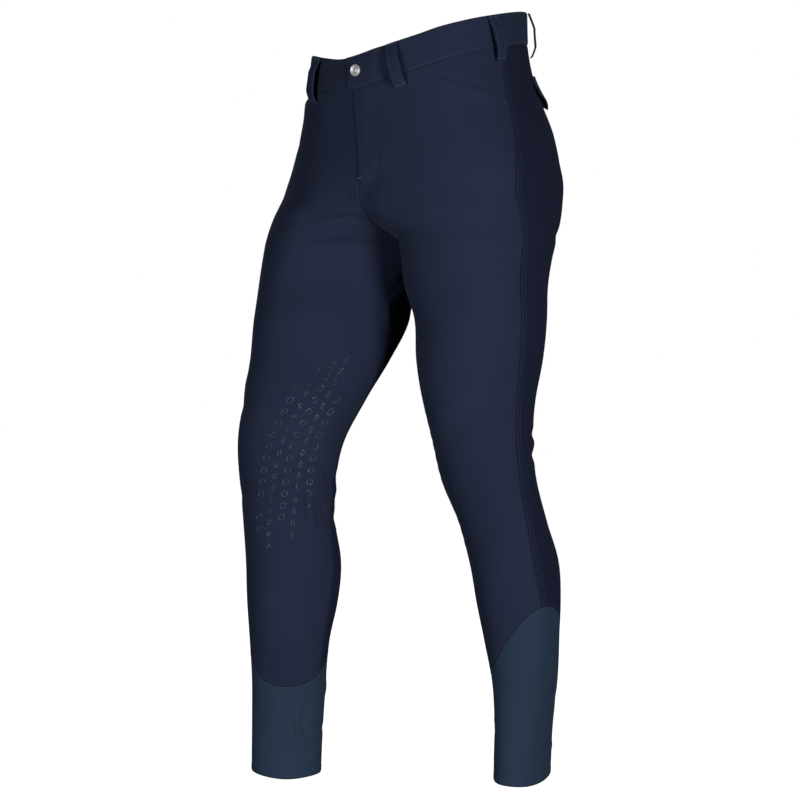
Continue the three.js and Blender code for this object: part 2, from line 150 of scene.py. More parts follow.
# How each leg is posed: forward and outward move it, turn rotates it outwards in degrees,
# and deepen stretches its depth where the thigh slants.
POSE = {
    1: Table("z forward outward turn deepen", [
        [-930, -46, 15.8, 0, 1],
        [-843, -48, 18.8, 0, 1],
        [-792, -50, 20.8, 0, 1],
        [-741, -50, 18.8, 0, 1],
        [-690, -44, 14.6, 0, 1],
        [-640, -40, 10.3, 0, 1],
        [-589, -28, 7, 0, 1],
        [-538, -15, 4, 0, 1],
        [-487, -8, 4, 0, 1],
        [-436, -2, 3, 0, 1],
        [-385, -2, 4, 0, 1],
        [-335, -2, 4, 0, 0.95],
        [-290, 4, -1, 0, 0.97],
        [-240, 2, 0, 0, 1],
        [-155, 0, 0, 0, 1],
    ]),
    -1: Table("z forward outward turn deepen", [
        [-930, 164, 22, 50, 1],
        [-792, 160, 21, 50, 1],
        [-640, 154, 19, 48, 1],
        [-538, 144, 17, 40, 1],
        [-487, 132, 12, 35, 1],
        [-436, 110, 8, 30, 1.02],
        [-385, 82, 9, 25, 1.06],
        [-335, 60, 10, 17, 1.16],
        [-290, 51, 13, 10, 1.08],
        [-240, 37, 11, 0, 1.05],
        [-155, 6, 3, 0, 1],
        [-110, 0, 0, 0, 1],
    ]),
}

# The waistband's top edge. heading is 0 at the left side, 90 at the centre front and 180 at the right.
WAISTLINE = Table("heading top", [
    [-108, 47],
    [-90, 52],
    [-55, 54],
    [-18, 49.5],
    [14, 36],
    [38, 21.5],
    [51, 11.5],
    [71, 0],
    [90, -8.6],
    [105, -11.3],
    [122, -6],
    [142, 2],
    [166, 4],
    [198, 12],
    [216, 25],
    [235, 39],
    [252, 47],
    [270, 52],
    [305, 54],
])

CUFF_SEAM = {"low": -793, "rise": 99, "peak": 2, "power": 1.4}
HEM = {1: {"z": -912.5, "tilt": 9, "towards": 49}, -1: {"z": -902, "tilt": 8, "towards": 189}}

# Creases of the cloth, from z1, around1 to z2, around2 with a bow; deep is below zero in a trough.
# A crease with sharp over 0 has a lip of that share of its depth on both sides.
CREASES = {
    1: [
        # z1 around1 z2 around2 bow wide deep sharp
        (-205, 130, -150, 60, 0, 10, -2.0, 0.3),
        (-222, 125, -165, 55, 0, 10, 2.2, 0.2),
        (-228, 150, -190, 82, 4, 6, -1.4, 0.4),
        (-238, 165, -215, 78, 6, 8, 1.6, 0.3),
        (-262, 176, -232, 92, 8, 7, -1.2, 0.4),
        (-300, 182, -262, 120, 4, 6, -1.3, 0.3),
        (-285, 196, -318, 232, 4, 7, -1.6, 0.4),
        (-448, 118, -424, 62, -4, 6, -1.9, 0.4),
        (-470, 128, -440, 70, -4, 10, 1.3, 0.3),
        (-500, 122, -466, 52, -5, 6, -2.2, 0.4),
        (-522, 110, -492, 48, -4, 12, 1.2, 0.3),
        (-478, -62, -470, -8, 4, 7, -2.4, 0.4),
        (-492, -95, -486, -30, 3, 8, 2.0, 0.3),
        (-508, -80, -500, -14, 2, 8, -2.2, 0.4),
        (-476, -70, -520, -130, 3, 7, -1.8, 0.4),
        (-452, -58, -440, -120, -3, 9, 1.4, 0.3),
        (-535, -100, -520, -50, -2, 9, -1.2, 0.3),
        (-508, 2, -590, 6, 4, 9, -1.6, 0.3),
        (-560, 12, -640, 24, 3, 10, 0.9, 0.2),
        (-262, -70, -300, -130, 5, 10, -1.6, 0.3),
        (-240, -40, -275, -105, 6, 12, 1.4, 0.2),
        (-225, -20, -248, -82, 5, 9, -1.6, 0.3),
        (-205, -78, -232, -140, 6, 10, -1.5, 0.3),
        (-330, -50, -372, -118, 4, 12, -1.0, 0.3),
    ],
    -1: [
        (-225, 176, -212, 78, 6, 3.4, -5.4, 0.3),
        (-213, 172, -200, 76, 6, 7, 4.4, 0.2),
        (-186, 122, -180, 66, 0, 10, -1.8, 0.3),
        (-236, 150, -232, 96, 3, 8, 1.6, 0.2),
        (-214, 108, -204, 40, -3, 9, -1.8, 0.3),
        (-262, 168, -300, 196, 3, 8, -1.6, 0.4),
        (-255, 182, -330, 206, 5, 10, 1.8, 0.3),
        (-300, 174, -368, 226, 6, 9, -2.0, 0.4),
        (-400, 120, -428, 60, 4, 12, 1.0, 0.2),
        (-430, 118, -462, 48, 4, 11, -1.1, 0.3),
        (-548, 60, -560, 128, 3, 10, -0.9, 0.3),
        (-520, 212, -548, 262, 4, 7, -2.6, 0.4),
        (-538, 196, -566, 250, 3, 8, 2.2, 0.3),
        (-556, 214, -600, 252, 3, 8, -2.0, 0.4),
        (-500, 200, -516, 262, 2, 9, 1.4, 0.3),
        (-530, 248, -520, 318, 4, 8, -2.2, 0.4),
        (-548, 240, -546, 318, 3, 9, 1.8, 0.3),
        (-575, 235, -590, 300, 2, 9, -1.6, 0.3),
        (-262, 270, -300, 330, 5, 10, -1.6, 0.3),
        (-232, 300, -262, 348, 5, 10, -1.6, 0.3),
        (-246, 282, -280, 340, 6, 12, 1.4, 0.2),
        (-210, 226, -240, 284, 6, 10, -1.5, 0.3),
        (-545, 198, -594, 211, 2, 4.2, -3.2, 0.4),
        (-560, 206, -600, 219, 2, 5, 2.8, 0.3),
        (-620, 150, -660, 100, 3, 12, -0.8, 0.3),
    ],
}
CUFF_CREASES = {
    1: [
        (-812, 62, -866, 12, 3, 9, 2.0, 0.4),
        (-806, 76, -858, 30, 2, 6, -1.5, 0.3),
        (-838, 118, -846, 164, 0, 5, 1.1, 0.4),
        (-852, 112, -862, 168, 0, 4, -1.2, 0.4),
        (-866, 120, -872, 170, 0, 5, 1.1, 0.4),
        (-878, 124, -884, 172, 0, 4, -1.0, 0.4),
        (-800, -60, -850, -20, 2, 8, -1.3, 0.4),
        (-780, -70, -812, -130, 3, 9, 1.2, 0.3),
        (-845, -70, -860, -150, 2, 7, -1.2, 0.4),
        (-872, -40, -884, -110, 2, 6, 1.0, 0.4),
        (-760, 20, -800, -6, 2, 10, -0.8, 0.3),
    ],
    -1: [
        (-806, 208, -880, 222, 3, 6, 2.2, 0.4),
        (-806, 192, -872, 206, 2, 6, -1.6, 0.4),
        (-838, 232, -850, 280, 1, 6, -1.2, 0.4),
        (-862, 44, -880, 84, 1, 5, -1.4, 0.4),
        (-876, 40, -888, 86, 1, 5, 1.2, 0.4),
        (-820, 36, -836, 78, 1, 6, -0.8, 0.3),
        (-880, 100, -888, 176, 0, 4, -0.9, 0.3),
        (-780, 250, -812, 300, 3, 9, 1.2, 0.3),
        (-845, 262, -862, 330, 2, 7, -1.2, 0.4),
        (-752, 330, -790, 352, 2, 9, -0.9, 0.3),
    ],
}


def smooth(x, start, end):
    """0 before start, 1 past end, and a soft step between."""
    t = np.clip((np.asarray(x, float) - start) / (end - start), 0, 1)
    return t * t * (3 - 2 * t)


def apart(z, front):
    """How far the two legs' sections still are from having merged into one."""
    rise = np.where(front, FRONT_RISE, BACK_RISE)
    return (1 - np.clip((z - CROTCH_Z) / rise, 0, 1) ** 1.4) ** 1.6


def quarter(z, cut, front):
    """Half width, middle and depth of one quarter of a section, and how far round it the seam lies."""
    above = z > CROTCH_Z
    cover = np.where(above, apart(z, front), 1.0)
    half = (cut["out"] - np.where(above, 0.0, cut["gap"])) / (1 + cover)
    n = cut["square"]
    reach = np.clip(1 - cover**n, 0, 1) ** (1 / n)
    return half, cut["out"] - half, np.where(front, cut["fore"], cut["aft"]), reach


def figure(side, z, around):
    """Points of the smooth garment at heights and angles, angles being from the outer side to the front."""
    z, around = np.broadcast_arrays(np.asarray(z, float), np.asarray(around, float))
    cut = CUT.at(z)
    pose = POSE[side].at(z)
    c = np.cos(np.radians(around))
    s = np.sin(np.radians(around))
    half, middle, depth, _ = quarter(z, cut, s >= 0)
    n = cut["square"]
    radius = (np.abs(c / half) ** n + np.abs(s / depth) ** n) ** (-1 / n)
    x = radius * c
    y = -radius * s
    plain_x = middle + x
    plain_y = cut["mid"] + y
    turn = np.radians(pose["turn"])
    deep_y = y * pose["deepen"]
    posed_x = middle + pose["outward"] + x * np.cos(turn) - deep_y * np.sin(turn)
    posed_y = cut["mid"] - pose["forward"] + x * np.sin(turn) + deep_y * np.cos(turn)
    hold = 1 - (1 - smooth(plain_x, 0, SPREAD_X)) * (1 - smooth(CROTCH_Z - z, 0, SPREAD_Z))
    out_x = plain_x + (posed_x - plain_x) * hold + GAP / 2
    out_y = plain_y + (posed_y - plain_y) * hold
    return np.stack([side * out_x, out_y, z], -1)


def outward(side, z, around):
    up = figure(side, z + 1, around) - figure(side, z - 1, around)
    on = figure(side, z, around + 0.5) - figure(side, z, around - 0.5)
    normal = np.cross(up, on) * side
    return normal / np.linalg.norm(normal, axis=-1, keepdims=True)


def per_degree(side, z, around):
    """Millimetres along a section for one degree."""
    return np.linalg.norm(figure(side, z, around + 0.5) - figure(side, z, around - 0.5), axis=-1)


def girth_degree(z):
    """About how many millimetres a degree is, all round a section."""
    cut = CUT.at(z)
    return np.radians((cut["out"] - cut["gap"] + cut["fore"] + cut["aft"]) / 4)


def creases(rows, z, around):
    """Height of a table of creases over the smooth figure."""
    height = np.zeros(np.broadcast(z, around).shape)
    for z1, a1, z2, a2, bow, wide, deep, sharp in rows:
        reach = girth_degree((z1 + z2) / 2)
        for turn in (-360, 0, 360):
            run_a = (a2 - a1) * reach
            run_z = z2 - z1
            length = np.hypot(run_a, run_z)
            from_a = (around + turn - a1) * reach
            from_z = z - z1
            share = (from_a * run_a + from_z * run_z) / length**2
            taper = np.sin(np.pi * np.clip(share, 0, 1))
            off = (from_a * run_z - from_z * run_a) / length - bow * taper
            q = (off / wide) ** 2
            height += deep * taper**1.5 * np.exp(-q) * (1 - 2 * sharp * q)
    return height


def drift(z, around):
    """Slow, shallow unevenness of worn cloth, under half a millimetre."""
    a = np.radians(around)
    waves = (
        np.sin(z / 37 + 3 * a) * np.sin(z / 61 - 2 * a + 1)
        + 0.6 * np.sin(z / 23 - 4 * a + 2) * np.sin(z / 83 + 3 * a)
        + 0.5 * np.sin(z / 14 + 5 * a + 4) * np.sin(z / 47 - 3 * a + 2)
    )
    return 0.28 * waves


def relief(side, z, around, rows=CREASES):
    height = creases(rows[side], z, around) + drift(z, around)
    x = figure(side, z, around)[..., 0] * side
    legs = smooth(CROTCH_Z - z, 0, FOLD_CALM["legs"])
    return height * (legs + (1 - legs) * smooth(x, FOLD_CALM["from"], FOLD_CALM["to"]))


def skin(side, z, around, lift=0, rows=CREASES):
    """Points of the cloth's outer face, moved out by lift."""
    height = np.asarray(lift + relief(side, z, around, rows))
    return figure(side, z, around) + outward(side, z, around) * height[..., None]


def waist_top(side, around):
    return WAISTLINE.at(around if side > 0 else 180 - np.asarray(around, float))["top"]


def below_waist(side, around, below):
    """Where the point lies that is a distance below the waistband's top edge, square to it."""
    z = waist_top(side, around)
    degree = per_degree(side, z, around)
    slope = (waist_top(side, around - 1) - waist_top(side, around + 1)) / (2 * degree)
    tilt = np.arctan(slope)
    return z - below * np.cos(tilt), around - below * np.sin(tilt) / degree


def find_band_seam(side):
    """The waistband's lower seam, as angles and heights to look up."""
    wanted = np.arange(-100, 112, 0.5)
    start = wanted.copy()
    for _ in range(6):
        start = start + wanted - below_waist(side, start, BAND_HEIGHT)[1]
    return wanted, below_waist(side, start, BAND_HEIGHT)[0] - GAP


BAND_SEAM = {side: find_band_seam(side) for side in (1, -1)}


def band_seam(side, around):
    return np.interp(around, *BAND_SEAM[side])


def mouth(side, around):
    """Height of the front pocket's mouth."""
    seam = CUT.at(MOUTH_END_Z)["seam"]
    share = np.clip((around - seam) / (MOUTH_START - seam), 0, 1)
    start = band_seam(side, MOUTH_START)
    return MOUTH_END_Z + (start - MOUTH_END_Z) * share - MOUTH_SAG * np.sin(np.pi * share)


def cuff_seam(around):
    share = (1 + np.cos(np.radians(around - CUFF_SEAM["peak"]))) / 2
    return CUFF_SEAM["low"] + CUFF_SEAM["rise"] * share ** CUFF_SEAM["power"]


def hem(side, around):
    line = HEM[side]
    return line["z"] - line["tilt"] * np.cos(np.radians(around - line["towards"]))


def panel_end(z, front):
    """The degrees at which a panel ends: at the centre seam, or at the inseam below the crotch."""
    cut = CUT.at(z)
    _, middle, depth, reach = quarter(z, cut, np.full(np.shape(z), front))
    centre = np.degrees(np.arctan2(depth * reach, -middle))
    behind = INSEAM_BACK * smooth(CROTCH_Z - z, 0, INSEAM_RUN)
    if front:
        return np.where(z <= CROTCH_Z, 180 + behind, centre)
    return np.where(z <= CROTCH_Z, behind - 180, -centre)


def fly_reach(z):
    return FLY_REACH * np.clip((z - FLY_LOW - FLY_EDGE["above"]) / FLY_EDGE["run"], 0, 1)


def fly_lift(z, x):
    rise = smooth(z, FLY_LOW - FLY_RISE["below"], FLY_LOW + FLY_RISE["above"])
    return (CLOTH + 2 * GAP) * rise * (1 - smooth(x, FLY_RISE["side"], FLY_WIDTH))


def lap(side, around, x):
    """1 where the left waistband lies on the right one, and 0 where it lies on the panels."""
    over = 1 - smooth(x, BAND_UNDER + BAND_STEP["start"], BAND_UNDER + BAND_STEP["end"])
    return np.where((side > 0) & (around > 0), over, 0)


def mouth_gape(side, z, around):
    edge = mouth(side, around)
    near = (z > MOUTH_END_Z - MOUTH_DROP["below"]) & (around < MOUTH_START) & (around > 0)
    return np.where(near, np.sin(np.pi * around / MOUTH_START) * smooth(z, edge - MOUTH_DROP["run"], edge), 0)


# Materials


class Nodes:
    """A short way to write a material's nodes."""

    def __init__(self, name):
        self.material = bpy.data.materials.new(name)
        self.material.use_nodes = True
        self.tree = self.material.node_tree
        self.shader = self.tree.nodes["Principled BSDF"]

    def add(self, kind, values=None, **settings):
        node = self.tree.nodes.new(kind)
        for key, value in settings.items():
            setattr(node, key, value)
        for key, value in (values or {}).items():
            if isinstance(value, bpy.types.NodeSocket):
                self.tree.links.new(value, node.inputs[key])
            else:
                node.inputs[key].default_value = value
        return node

    def math(self, operation, a, b=0.0):
        return self.add("ShaderNodeMath", {0: a, 1: b}, operation=operation).outputs[0]

    def ramp(self, factor, stops):
        node = self.add("ShaderNodeValToRGB", {0: factor})
        ramp = node.color_ramp
        while len(ramp.elements) < len(stops):
            ramp.elements.new(0.5)
        for element, (place, colour) in zip(ramp.elements, stops):
            element.position = place
            element.color = (*colour, 1)
        return node.outputs[0]

    def set(self, **values):
        for key, value in values.items():
            socket = self.shader.inputs[key.replace("_", " ")]
            if isinstance(value, bpy.types.NodeSocket):
                self.tree.links.new(value, socket)
            else:
                socket.default_value = value


WAVE = 0.314  # a wave texture's period at a scale of 1


def woven_cloth(name, dark, light, sheen, rib, bump, steep):
    """Fine twill or jersey along the cloth's own length and width, in metres of cloth."""
    n = Nodes(name)
    place = n.add("ShaderNodeAttribute", attribute_name="cloth").outputs["Vector"]
    turned = n.add("ShaderNodeMapping", {"Vector": place, "Rotation": (0, 0, steep)}).outputs[0]
    wave = n.add(
        "ShaderNodeTexWave",
        {"Vector": turned, "Scale": WAVE / (rib * MM), "Distortion": 0.6, "Detail": 1, "Detail Scale": 2},
        wave_type="BANDS",
        bands_direction="X",
    ).outputs["Fac"]
    yarn = n.add("ShaderNodeTexNoise", {"Vector": place, "Scale": 2400, "Detail": 2}).outputs["Fac"]
    cloudy = n.add("ShaderNodeTexNoise", {"Vector": place, "Scale": 14, "Detail": 3}).outputs["Fac"]
    tone = n.math("ADD", n.math("MULTIPLY", wave, 0.25), n.math("MULTIPLY", yarn, 0.35))
    tone = n.math("ADD", tone, n.math("MULTIPLY", cloudy, 0.4))
    n.set(Base_Color=n.ramp(tone, [(0.3, dark), (0.7, light)]))
    height = n.math("ADD", wave, n.math("MULTIPLY", yarn, 0.8))
    normal = n.add("ShaderNodeBump", {"Height": height, "Distance": bump * MM, "Strength": 0.6}).outputs[0]
    n.set(Normal=normal, Roughness=0.8, Specular_IOR_Level=0.12)
    n.set(Sheen_Weight=sheen, Sheen_Roughness=0.5, Sheen_Tint=(0.6, 0.7, 1, 1))
    return n.material


def plain_thread(name, colour):
    n = Nodes(name)
    place = n.add("ShaderNodeTexCoord").outputs["Object"]
    twist = n.add("ShaderNodeTexNoise", {"Vector": place, "Scale": 1800, "Detail": 1}).outputs["Fac"]
    low = tuple(0.75 * c for c in colour)
    n.set(Base_Color=n.ramp(twist, [(0.35, low), (0.65, colour)]))
    normal = n.add("ShaderNodeBump", {"Height": twist, "Distance": 0.1 * MM, "Strength": 0.5}).outputs[0]
    n.set(Normal=normal, Roughness=0.55, Specular_IOR_Level=0.4)
    n.set(Sheen_Weight=0.2, Sheen_Roughness=0.4)
    return n.material


def silicone(name, colour):
    n = Nodes(name)
    place = n.add("ShaderNodeTexCoord").outputs["Object"]
    worn = n.add("ShaderNodeTexNoise", {"Vector": place, "Scale": 42, "Detail": 3}).outputs["Fac"]
    low = tuple(0.2 * c for c in colour)
    n.set(Base_Color=n.ramp(worn, [(0.42, low), (0.62, colour)]))
    n.set(Roughness=0.3, Specular_IOR_Level=0.5, Coat_Weight=0.2, Coat_Roughness=0.2)
    return n.material


def nickel(name):
    n = Nodes(name)
    place = n.add("ShaderNodeTexCoord").outputs["Object"]
    scuffs = n.add("ShaderNodeTexNoise", {"Vector": place, "Scale": 900, "Detail": 4}).outputs["Fac"]
    n.set(Base_Color=n.ramp(scuffs, [(0.3, (0.56, 0.57, 0.59)), (0.7, (0.76, 0.77, 0.79))]))
    normal = n.add("ShaderNodeBump", {"Height": scuffs, "Distance": 0.05 * MM, "Strength": 0.3}).outputs[0]
    n.set(Normal=normal, Metallic=0.7, Roughness=0.5)
    return n.material


BODY = woven_cloth("body_cloth", (0.0108, 0.0158, 0.0385), (0.0158, 0.0218, 0.0485), 0.05, 0.7, 0.12, 0.9)
# Back panels: a darker copy of the body cloth, which paints shade on them.
SHADED_BACK_CLOTH = woven_cloth("body_cloth_back", (0.0054, 0.0082, 0.0235), (0.008, 0.0115, 0.03), 0.03, 0.7, 0.12, 0.9)
JERSEY = woven_cloth("cuff_cloth", (0.014, 0.0275, 0.052), (0.019, 0.035, 0.062), 0.05, 0.6, 0.08, 0.0)
THREAD = plain_thread("stitch_thread", (0.028, 0.04, 0.1))
TACK = plain_thread("tack_thread", (0.03, 0.05, 0.15))
PRINT = silicone("grip_print", (0.05, 0.066, 0.1))
METAL = nickel("button_metal")


# Meshes


def to_object(name, points, faces, material, nodes=(), smooth_angle=38, cloth=None):
    """A mesh object from points in millimetres, on the garment's one body."""
    mesh = bpy.data.meshes.new(name)
    faces = faces.tolist() if isinstance(faces, np.ndarray) else faces
    mesh.from_pydata((np.asarray(points, float) * MM).tolist(), [], faces)
    mesh.polygons.foreach_set("use_smooth", [True] * len(mesh.polygons))
    mesh.set_sharp_from_angle(angle=math.radians(smooth_angle))
    if cloth is not None:
        place = mesh.attributes.new("cloth", "FLOAT_VECTOR", "POINT")
        place.data.foreach_set("vector", (np.asarray(cloth, float) * MM).ravel())
    mesh.materials.append(material)
    piece = bpy.data.objects.new(name, mesh)
    bpy.context.collection.objects.link(piece)
    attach(piece, "root")
    if nodes:
        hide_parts(*nodes)
    return piece


def run_lengths(points, axis):
    """How far along the cloth each point lies, from the first one."""
    steps = np.linalg.norm(np.diff(points, axis=axis), axis=-1)
    total = np.cumsum(steps, axis=axis)
    pad = [(0, 0), (0, 0)]
    pad[axis] = (1, 0)
    return np.pad(total, pad)


def shell(name, outer, inner, side, material=BODY, nodes=(), closed=False):
    """A closed wall between two grids of points (rows, columns, 3)."""
    rows, columns = outer.shape[:2]
    count = rows * columns
    index = np.arange(count).reshape(rows, columns)
    right = np.roll(index, -1, axis=1)
    if not closed:
        index = index[:, :-1]
        right = right[:, :-1]
    a, b, c, d = index[:-1], right[:-1], right[1:], index[1:]
    front = np.stack([a, b, c, d], -1).reshape(-1, 4)
    if side > 0:
        front = front[:, ::-1]
    back = front[:, ::-1] + count
    faces = [front, back]

    def rim(p, q):
        strip = np.stack([p, q, q + count, p + count], -1).reshape(-1, 4)
        faces.append(strip if side > 0 else strip[:, ::-1])

    rim(index[0], right[0])
    rim(right[-1], index[-1])
    if not closed:
        rim(right[:-1, -1], right[1:, -1])
        rim(index[1:, 0], index[:-1, 0])
    points = np.concatenate([outer.reshape(-1, 3), inner.reshape(-1, 3)])
    across = run_lengths(outer, 1)
    along = run_lengths(outer, 0)
    place = np.stack([across, along, np.zeros_like(across)], -1).reshape(-1, 3)
    place = np.concatenate([place, place])
    return to_object(name, points, np.concatenate(faces), material, nodes, cloth=place)


def eased(count, ease):
    """Shares from 0 to 1, closer together at both ends."""
    t = np.linspace(0, 1, count + 1)
    return t - ease * np.sin(2 * np.pi * t) / (2 * np.pi)


def edge_drop(distance, depth, reach):
    """How far cloth rolls down at an edge."""
    return -depth * np.exp(-((distance / reach) ** 2))


def groove(distance, place, depth=0.3, wide=1.0):
    """The dint that a row of stitches pulls into the cloth."""
    return -depth * np.exp(-(((distance - place) / wide) ** 2))


# Leg panels
PANEL_COLUMNS = 104
PANEL_ROWS = {"leg": 190, "rise": 34, "hip": 46}


def panel_grid(side, front, share, leg, rise, hip):
    """Heights and angles of a leg panel's grid."""
    own = FRONT_RISE if front else BACK_RISE
    climb = (FRONT_RISE + BACK_RISE) / 2 * (1 - share) + own * share
    fly = front and side > 0
    around = np.zeros((len(leg) + len(rise) + len(hip), len(share)))
    z = np.full_like(around, CROTCH_Z)
    for _ in range(6):
        start = CUT.at(z)["seam"]
        end = panel_end(z, front)
        if fly:
            end = end + np.where(z > FLY_LOW, fly_reach(z) / per_degree(side, z, 90), 0)
        around = start + (end - start) * share
        top = band_seam(side, around)
        if front:
            top = np.minimum(top, mouth(side, around))
        low = cuff_seam(around) + GAP
        parts = [
            low[: len(leg)] + (CROTCH_Z - low[: len(leg)]) * leg[:, None],
            CROTCH_Z + climb * (1 - np.cos(rise[:, None] * np.pi / 2)),
            CROTCH_Z + climb + (top[-len(hip):] - CROTCH_Z - climb) * hip[:, None],
        ]
        z = np.concatenate(parts)
    trim = 0.5 * GAP / per_degree(side, z, around)
    around[:, 0] += trim[:, 0] if front else -trim[:, 0]
    below = z[:, -1] < CROTCH_Z + 1
    around[below, -1] -= trim[below, -1] if front else -trim[below, -1]
    return z, around


def turned_up(z, around, lift, reach):
    """Adds the seam allowance that lies hidden under the waistband."""
    rise = np.stack([np.minimum(reach, 0.25), np.minimum(reach, 0.8), reach])
    drops = np.array([0.8, 1.9, 2.1])[:, None]
    z = np.concatenate([z, z[-1] + rise])
    around = np.concatenate([around, np.repeat(around[-1:], 3, axis=0)])
    return z, around, np.concatenate([lift, lift[-1] - drops * smooth(reach, 0, ALLOWANCE)])


def leg_panel(name, side, front):
    share = eased(PANEL_COLUMNS, 0.72)
    leg = np.linspace(0, 1, PANEL_ROWS["leg"] + 1)
    leg[:6] = np.array([0, 0.6, 1.4, 2.6, 4.2, 6.5]) / 560
    rise = np.linspace(0, 1, PANEL_ROWS["rise"] + 1)[1:]
    hip = np.linspace(0, 1, PANEL_ROWS["hip"] + 1)[1:]
    z, around = panel_grid(side, front, share, leg, rise, hip)
    base = figure(side, z, around)
    from_seam = run_lengths(base, 1)
    from_end = from_seam[:, -1:] - from_seam
    from_low = run_lengths(base, 0)
    from_top = from_low[-1:] - from_low
    lift = edge_drop(from_seam, 0.9, 1.3) + edge_drop(from_top, 0.8, 1.2) + edge_drop(from_low, 0.7, 1.2)
    centre = edge_drop(from_end, 0.9, 1.4)
    if not front:
        ridge = smooth(from_seam, 0.6, 2.2) * (1 - smooth(from_seam, TWIN_STITCH - 0.6, TWIN_STITCH + 2.4))
        dints = groove(from_seam, EDGE_STITCH, 0.35, 0.9) + groove(from_seam, TWIN_STITCH, 0.35, 0.9)
        lift += 0.3 * ridge + dints
    if front:
        lift += MOUTH_GAPE * mouth_gape(side, z, around)
        lift += groove(from_top, EDGE_STITCH + 0.6, 0.25)
    if front and side > 0:
        fly = z > FLY_LOW
        centre = np.where(fly, centre * 0.5, centre)
        lift += np.where(fly, groove(FLY_WIDTH + FLY_STITCH - base[..., 0], 0, 0.4, 1.3), 0)
        lift += fly_lift(z, base[..., 0])
    lift += centre + groove(from_low, EDGE_STITCH, 0.25)
    under = np.full(share.shape, ALLOWANCE)
    if front:
        under = ALLOWANCE * smooth(mouth(side, around[-1]) - band_seam(side, around[-1]), -1.5, 0.5)
    z, around, lift = turned_up(z, around, lift, under)
    outer = skin(side, z, around, lift)
    inner = skin(side, z, around, lift - CLOTH)
    # The back panels take the darker copy of the body cloth: painted shade.
    cloth = BODY if front else SHADED_BACK_CLOTH
    return shell(name, outer, inner, side * (1 if front else -1), cloth, nodes=[name.replace("cloth_", "")])


def facing(name, side):
    """The cloth that shows in the pocket's mouth."""
    seam = float(CUT.at(MOUTH_END_Z)["seam"])
    around = np.linspace(seam, MOUTH_START + FACING["past"], 57)[None, :]
    edge = mouth(side, np.minimum(around, MOUTH_START))
    top = np.maximum(band_seam(side, around), edge)
    share = np.linspace(0, 1, 31)[:, None]
    z = (edge - FACING["tuck"]) * (1 - share) + top * share
    follow = CUT.at(z)["seam"] - seam + FACING["start_in"]
    around = around + follow * (1 - smooth(around, seam, seam + FACING["ease"]))
    opened = smooth(top - edge, FACING["open_from"], FACING["open_to"])
    tuck = (CLOTH + GAP) * (1 - opened * smooth(z, edge, edge + FACING["tuck"]))
    lift = edge_drop(top - z, 0.6, 1.2) - tuck
    z, around, lift = turned_up(z, around, lift, np.full(around.shape[1], ALLOWANCE))
    outer = skin(side, z, around, lift)
    inner = skin(side, z, around, lift - CLOTH)
    return shell(name, outer, inner, side, nodes=[name.replace("cloth_", "")])


def waistband(name, side):
    end = 90 + float((BAND_END if side > 0 else BAND_UNDER) / per_degree(side, 0, 90))
    start = float(GAP / 2 / per_degree(side, 0, -90)) - 90
    share = eased(260, 0.6)[None, :]
    around = start + (end - start) * share
    below = BAND_HEIGHT * (1 - eased(26, 0.8))[:, None]
    z, turned = below_waist(side, around, below)
    x = figure(side, z, turned)[..., 0]
    above = lap(side, around, x)
    length = run_lengths(figure(side, z, turned), 1)
    to_end = length[:, -1:] - length
    lift = BAND_PROUD + (BAND_CLOTH + GAP) * above
    lift = lift + edge_drop(below, 0.9, 1.1) + edge_drop(BAND_HEIGHT - below, 0.7, 1.1)
    lift = lift + edge_drop(to_end, 0.8, 1.2) + edge_drop(length, 0.8, 1.4)
    lift = lift + groove(below, EDGE_STITCH, 0.28) + groove(BAND_HEIGHT - below, EDGE_STITCH, 0.28)
    fullness = np.sin(np.pi * below / BAND_HEIGHT)
    lift = lift + 0.35 * fullness
    lift = lift + 0.22 * np.sin(length / 9 + 2 * np.sin(length / 31)) * fullness**2
    inner_drop = BAND_CLOTH - 0.5 * np.exp(-((below / 1.1) ** 2))
    outer = skin(side, z, turned, lift)
    inner = skin(side, z, turned, lift - inner_drop)
    return shell(name, outer, inner, side, nodes=[name.replace("cloth_", "")])


def cuff(name, side):
    """A stretch cuff: a closed tube with a turned hem."""
    around = np.linspace(0, 360, 161)[None, :-1]
    parts = [np.linspace(0, 0.1, 14)[:-1], np.linspace(0.1, 0.97, 72)[:-1], np.linspace(0.97, 1, 8)]
    share = np.concatenate(parts)
    low = hem(side, around)
    high = cuff_seam(around) - GAP
    z = low + (high - low) * share[:, None]
    around = around + 0 * z
    above_hem = z - low
    lift = edge_drop(high - z, 0.7, 1.2) + edge_drop(above_hem, 0.7, 1.0)
    lift = lift + groove(above_hem, HEM_TURN, 0.3, 0.8)
    lift = lift + 0.25 * (1 - smooth(above_hem, HEM_TURN - 1, HEM_TURN + 1.5))
    outer = skin(side, z, around, lift, CUFF_CREASES)
    inner = skin(side, z, around, lift - CUFF_CLOTH, CUFF_CREASES)
    return shell(name, outer, inner, side, JERSEY, [name.replace("cloth_", "")], closed=True)


def loop_spot(side, around, across, share):
    """Height, angle and lift of a belt loop's underside, at a place across it and a share of its length."""
    turned = around + across / per_degree(side, 0, around)
    z, place = below_waist(side, turned, LOOP["start"] + share * LOOP["length"])
    seat = BAND_PROUD * smooth(z - band_seam(side, place), -7, -1)
    lean = np.clip(share, 0, 1) ** 1.25
    stand = LOOP["stand"] * np.minimum(1, LOOP["arch"] * np.sin(np.pi * lean) ** 0.8)
    return z, place, seat + SEAT + stand


